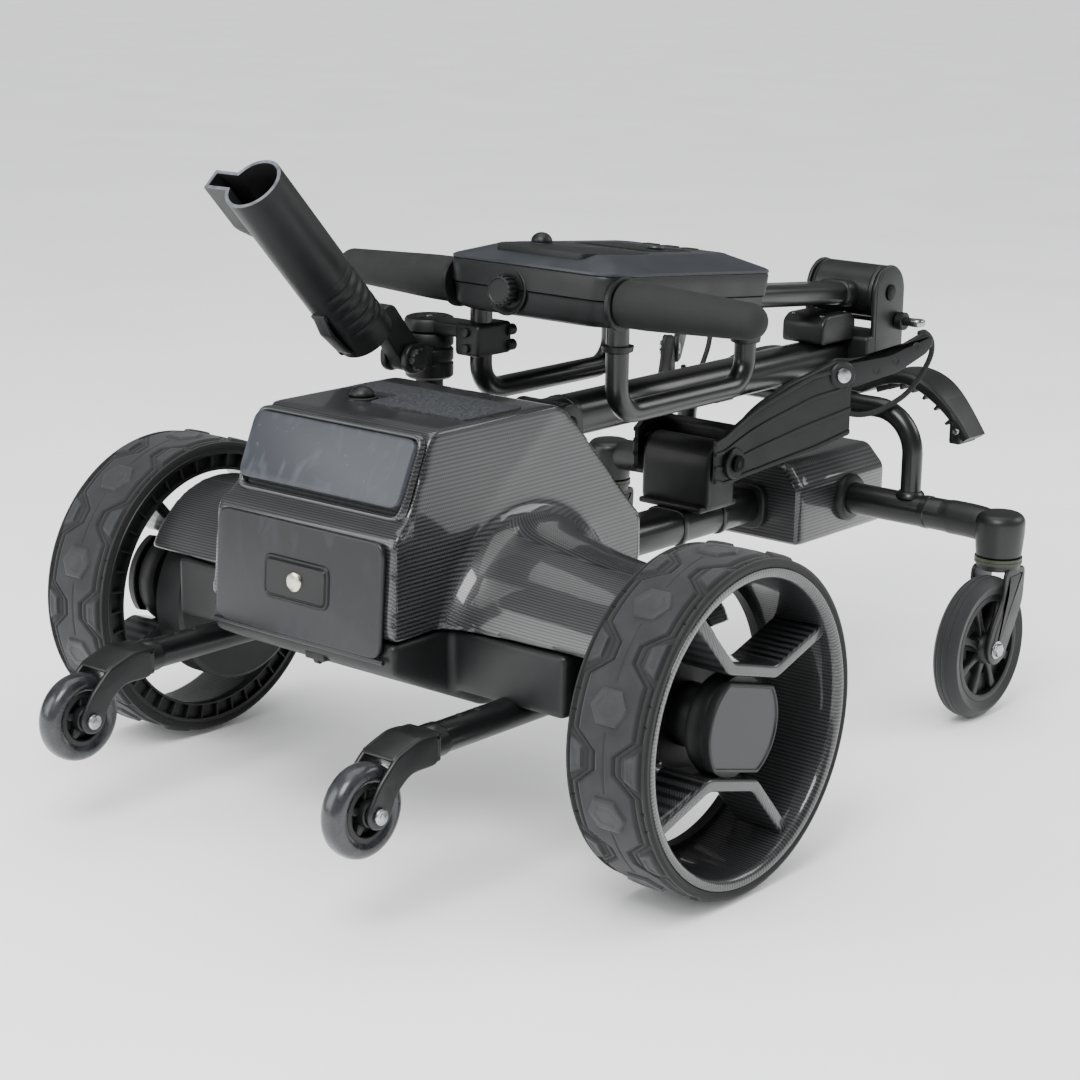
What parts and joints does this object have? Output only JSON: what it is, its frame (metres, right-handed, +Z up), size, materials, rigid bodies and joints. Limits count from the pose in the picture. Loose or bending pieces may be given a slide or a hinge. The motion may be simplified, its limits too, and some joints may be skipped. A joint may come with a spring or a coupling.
{
  "type": "electric golf trolley",
  "caption": "Folding electric golf trolley with motor housing, rear drive wheels, front casters, anti-tip wheels, mast, console handle, bag cradles and umbrella holder.",
  "frame": {"origin": "on the ground, under the middle of the folded trolley's box", "axes": "+X forward in the direction of travel, +Y to the trolley's left, +Z up"},
  "size_m": [1.035, 0.734, 0.5858],
  "materials": {
    "carbon_twill": "gloss clear-coated carbon-look twill",
    "black_plastic": "moulded, fine grain",
    "satin_plastic": "satin moulded",
    "painted_tube": "satin black powder coat",
    "rubber_tread": "moulded rubber",
    "skate_tyre": "smoky polyurethane",
    "grip_foam": "soft foam rubber",
    "steel": "bright steel",
    "battery_case": "shrink-wrapped pack",
    "circuit_board": "solder mask",
    "cord_black": "braided elastic cord"
  },
  "bodies": {
    "chassis": {"housing_shell": "carbon_twill", "housing_tray": "black_plastic", "housing_panels": "black_plastic", "battery_pack": "battery_case", "controller_board": "circuit_board", "hub_motors": "black_plastic", "axle_beam": "painted_tube", "spine_tube": "painted_tube", "front_box": "carbon_twill", "cross_tube": "painted_tube", "caster_heads": "painted_tube", "front_hoop": "painted_tube", "pivot_block": "black_plastic", "mast_lugs": "painted_tube", "hinge_pins": "steel", "anti_tip_tubes": "painted_tube", "anti_tip_forks": "painted_tube"},
    "battery_door": {"battery_door": "black_plastic"},
    "door_lock": {"door_lock": "steel"},
    "power_button": {"power_button": "black_plastic"},
    "drive_wheel_left": {"tyre_left": "rubber_tread", "rim_left": "carbon_twill", "hub_cap_left": "black_plastic", "axle_left": "steel"},
    "drive_wheel_right": {"tyre_right": "rubber_tread", "rim_right": "carbon_twill", "hub_cap_right": "black_plastic", "axle_right": "steel"},
    "caster_left": {"caster_fork_left": "painted_tube"},
    "caster_wheel_left": {"caster_tyre_left": "rubber_tread", "caster_hub_left": "black_plastic"},
    "caster_right": {"caster_fork_right": "painted_tube"},
    "caster_wheel_right": {"caster_tyre_right": "rubber_tread", "caster_hub_right": "black_plastic"},
    "anti_tip_wheel_left": {"anti_tip_tyre_left": "skate_tyre", "anti_tip_hub_left": "black_plastic"},
    "anti_tip_wheel_right": {"anti_tip_tyre_right": "skate_tyre", "anti_tip_hub_right": "black_plastic"},
    "mast": {"mast_tube": "painted_tube", "fold_bracket": "black_plastic", "fold_pin": "steel", "upper_cradle": "black_plastic"},
    "latch_lever": {"latch_lever": "black_plastic"},
    "handle": {"handle_tube": "painted_tube", "console_base": "black_plastic", "console_lid": "satin_plastic", "guard_bars": "painted_tube", "grips": "grip_foam", "umbrella_clamp": "black_plastic"},
    "speed_knob": {"speed_knob": "black_plastic"},
    "jog_dial": {"jog_dial": "black_plastic"},
    "mode_button": {"mode_button": "satin_plastic"},
    "umbrella_post": {"umbrella_post": "black_plastic"},
    "umbrella_tube": {"umbrella_tube": "black_plastic"},
    "umbrella_lever": {"umbrella_lever": "black_plastic"},
    "cradle": {"cradle_arms": "black_plastic"},
    "cradle_tip_left": {"cradle_tip_left": "black_plastic", "bungee_left": "cord_black"},
    "cradle_tip_right": {"cradle_tip_right": "black_plastic", "bungee_right": "cord_black"}
  },
  "joints": [
    {"name": "battery_door_hinge", "type": "hinge", "parent": "chassis", "child": "battery_door", "pos_m": [-0.37634, 0, 0.19116], "axis": [0, -1, 0], "range_deg": [0, 95]},
    {"name": "door_lock_turn", "type": "hinge", "parent": "battery_door", "child": "door_lock", "pos_m": [-0.37054, 0, 0.24292], "axis": [-0.9985, 0, 0.054], "range_deg": [0, 90]},
    {"name": "power_button_press", "type": "slide", "parent": "chassis", "child": "power_button", "axis": [0, 0, -1], "range_m": [0, 0.0015], "stiffness_N_per_m": 600},
    {"name": "drive_left", "type": "hinge", "parent": "chassis", "child": "drive_wheel_left", "pos_m": [-0.2095, 0.326, 0.15], "axis": [0, 1, 0], "continuous": true},
    {"name": "drive_right", "type": "hinge", "parent": "chassis", "child": "drive_wheel_right", "pos_m": [-0.2095, -0.326, 0.15], "axis": [0, 1, 0], "continuous": true},
    {"name": "caster_swivel_left", "type": "hinge", "parent": "chassis", "child": "caster_left", "pos_m": [0.3825, 0.257, 0.16], "axis": [0, 0, 1], "continuous": true},
    {"name": "caster_roll_left", "type": "hinge", "parent": "caster_left", "child": "caster_wheel_left", "pos_m": [0.3525, 0.257, 0.0745], "axis": [0, 1, 0], "continuous": true},
    {"name": "caster_swivel_right", "type": "hinge", "parent": "chassis", "child": "caster_right", "pos_m": [0.3825, -0.257, 0.16], "axis": [0, 0, 1], "continuous": true},
    {"name": "caster_roll_right", "type": "hinge", "parent": "caster_right", "child": "caster_wheel_right", "pos_m": [0.3525, -0.257, 0.0745], "axis": [0, 1, 0], "continuous": true},
    {"name": "anti_tip_roll_left", "type": "hinge", "parent": "chassis", "child": "anti_tip_wheel_left", "pos_m": [-0.4775, 0.175, 0.106], "axis": [0, 1, 0], "continuous": true},
    {"name": "anti_tip_roll_right", "type": "hinge", "parent": "chassis", "child": "anti_tip_wheel_right", "pos_m": [-0.4775, -0.175, 0.106], "axis": [0, 1, 0], "continuous": true},
    {"name": "mast_fold", "type": "hinge", "parent": "chassis", "child": "mast", "pos_m": [-0.0445, 0, 0.335], "axis": [0, -1, 0], "range_deg": [0, 115]},
    {"name": "handle_fold", "type": "hinge", "parent": "mast", "child": "handle", "pos_m": [0.4875, 0, 0.404], "axis": [0, -1, 0], "range_deg": [-130, 0]},
    {"name": "latch_turn", "type": "hinge", "parent": "mast", "child": "latch_lever", "pos_m": [0.5055, 0, 0.371], "axis": [0, 1, 0], "range_deg": [0, 60]},
    {"name": "speed_knob_turn", "type": "hinge", "parent": "handle", "child": "speed_knob", "pos_m": [-0.07963, 0.02, 0.46165], "axis": [-0.9962, 0, 0.0872], "range_deg": [-135, 135]},
    {"name": "jog_dial_turn", "type": "hinge", "parent": "handle", "child": "jog_dial", "pos_m": [-0.00178, 0.043, 0.49097], "axis": [0.0872, 0, 0.9962], "range_deg": [-150, 150]},
    {"name": "mode_button_press", "type": "slide", "parent": "handle", "child": "mode_button", "axis": [-0.0872, 0, -0.9962], "range_m": [0, 0.0008], "stiffness_N_per_m": 400},
    {"name": "umbrella_swivel", "type": "hinge", "parent": "handle", "child": "umbrella_post", "pos_m": [-0.0435, 0.15, 0.404], "axis": [0, 0, 1], "range_deg": [-60, 30]},
    {"name": "umbrella_tilt", "type": "hinge", "parent": "umbrella_post", "child": "umbrella_tube", "pos_m": [-0.0815, 0.15, 0.382], "axis": [0, 1, 0], "range_deg": [-30, 20]},
    {"name": "umbrella_lever_turn", "type": "hinge", "parent": "umbrella_tube", "child": "umbrella_lever", "pos_m": [-0.22929, 0.192, 0.53318], "axis": [0.7314, 0, 0.682], "range_deg": [0, 60]},
    {"name": "cradle_tilt", "type": "hinge", "parent": "chassis", "child": "cradle", "pos_m": [0.1875, 0, 0.264], "axis": [0, -1, 0], "range_deg": [0, 25]},
    {"name": "cradle_tip_fold_left", "type": "hinge", "parent": "cradle", "child": "cradle_tip_left", "pos_m": [0.2955, 0.111, 0.348], "axis": [0.5145, -0.8575, 0], "range_deg": [0, 40]},
    {"name": "cradle_tip_fold_right", "type": "hinge", "parent": "cradle", "child": "cradle_tip_right", "pos_m": [0.2955, -0.111, 0.348], "axis": [-0.5145, -0.8575, 0], "range_deg": [0, 40]}
  ],
  "couplings": [
    {"joint": "handle_fold", "follows": "mast_fold", "ratio": -1.1304}
  ]
}
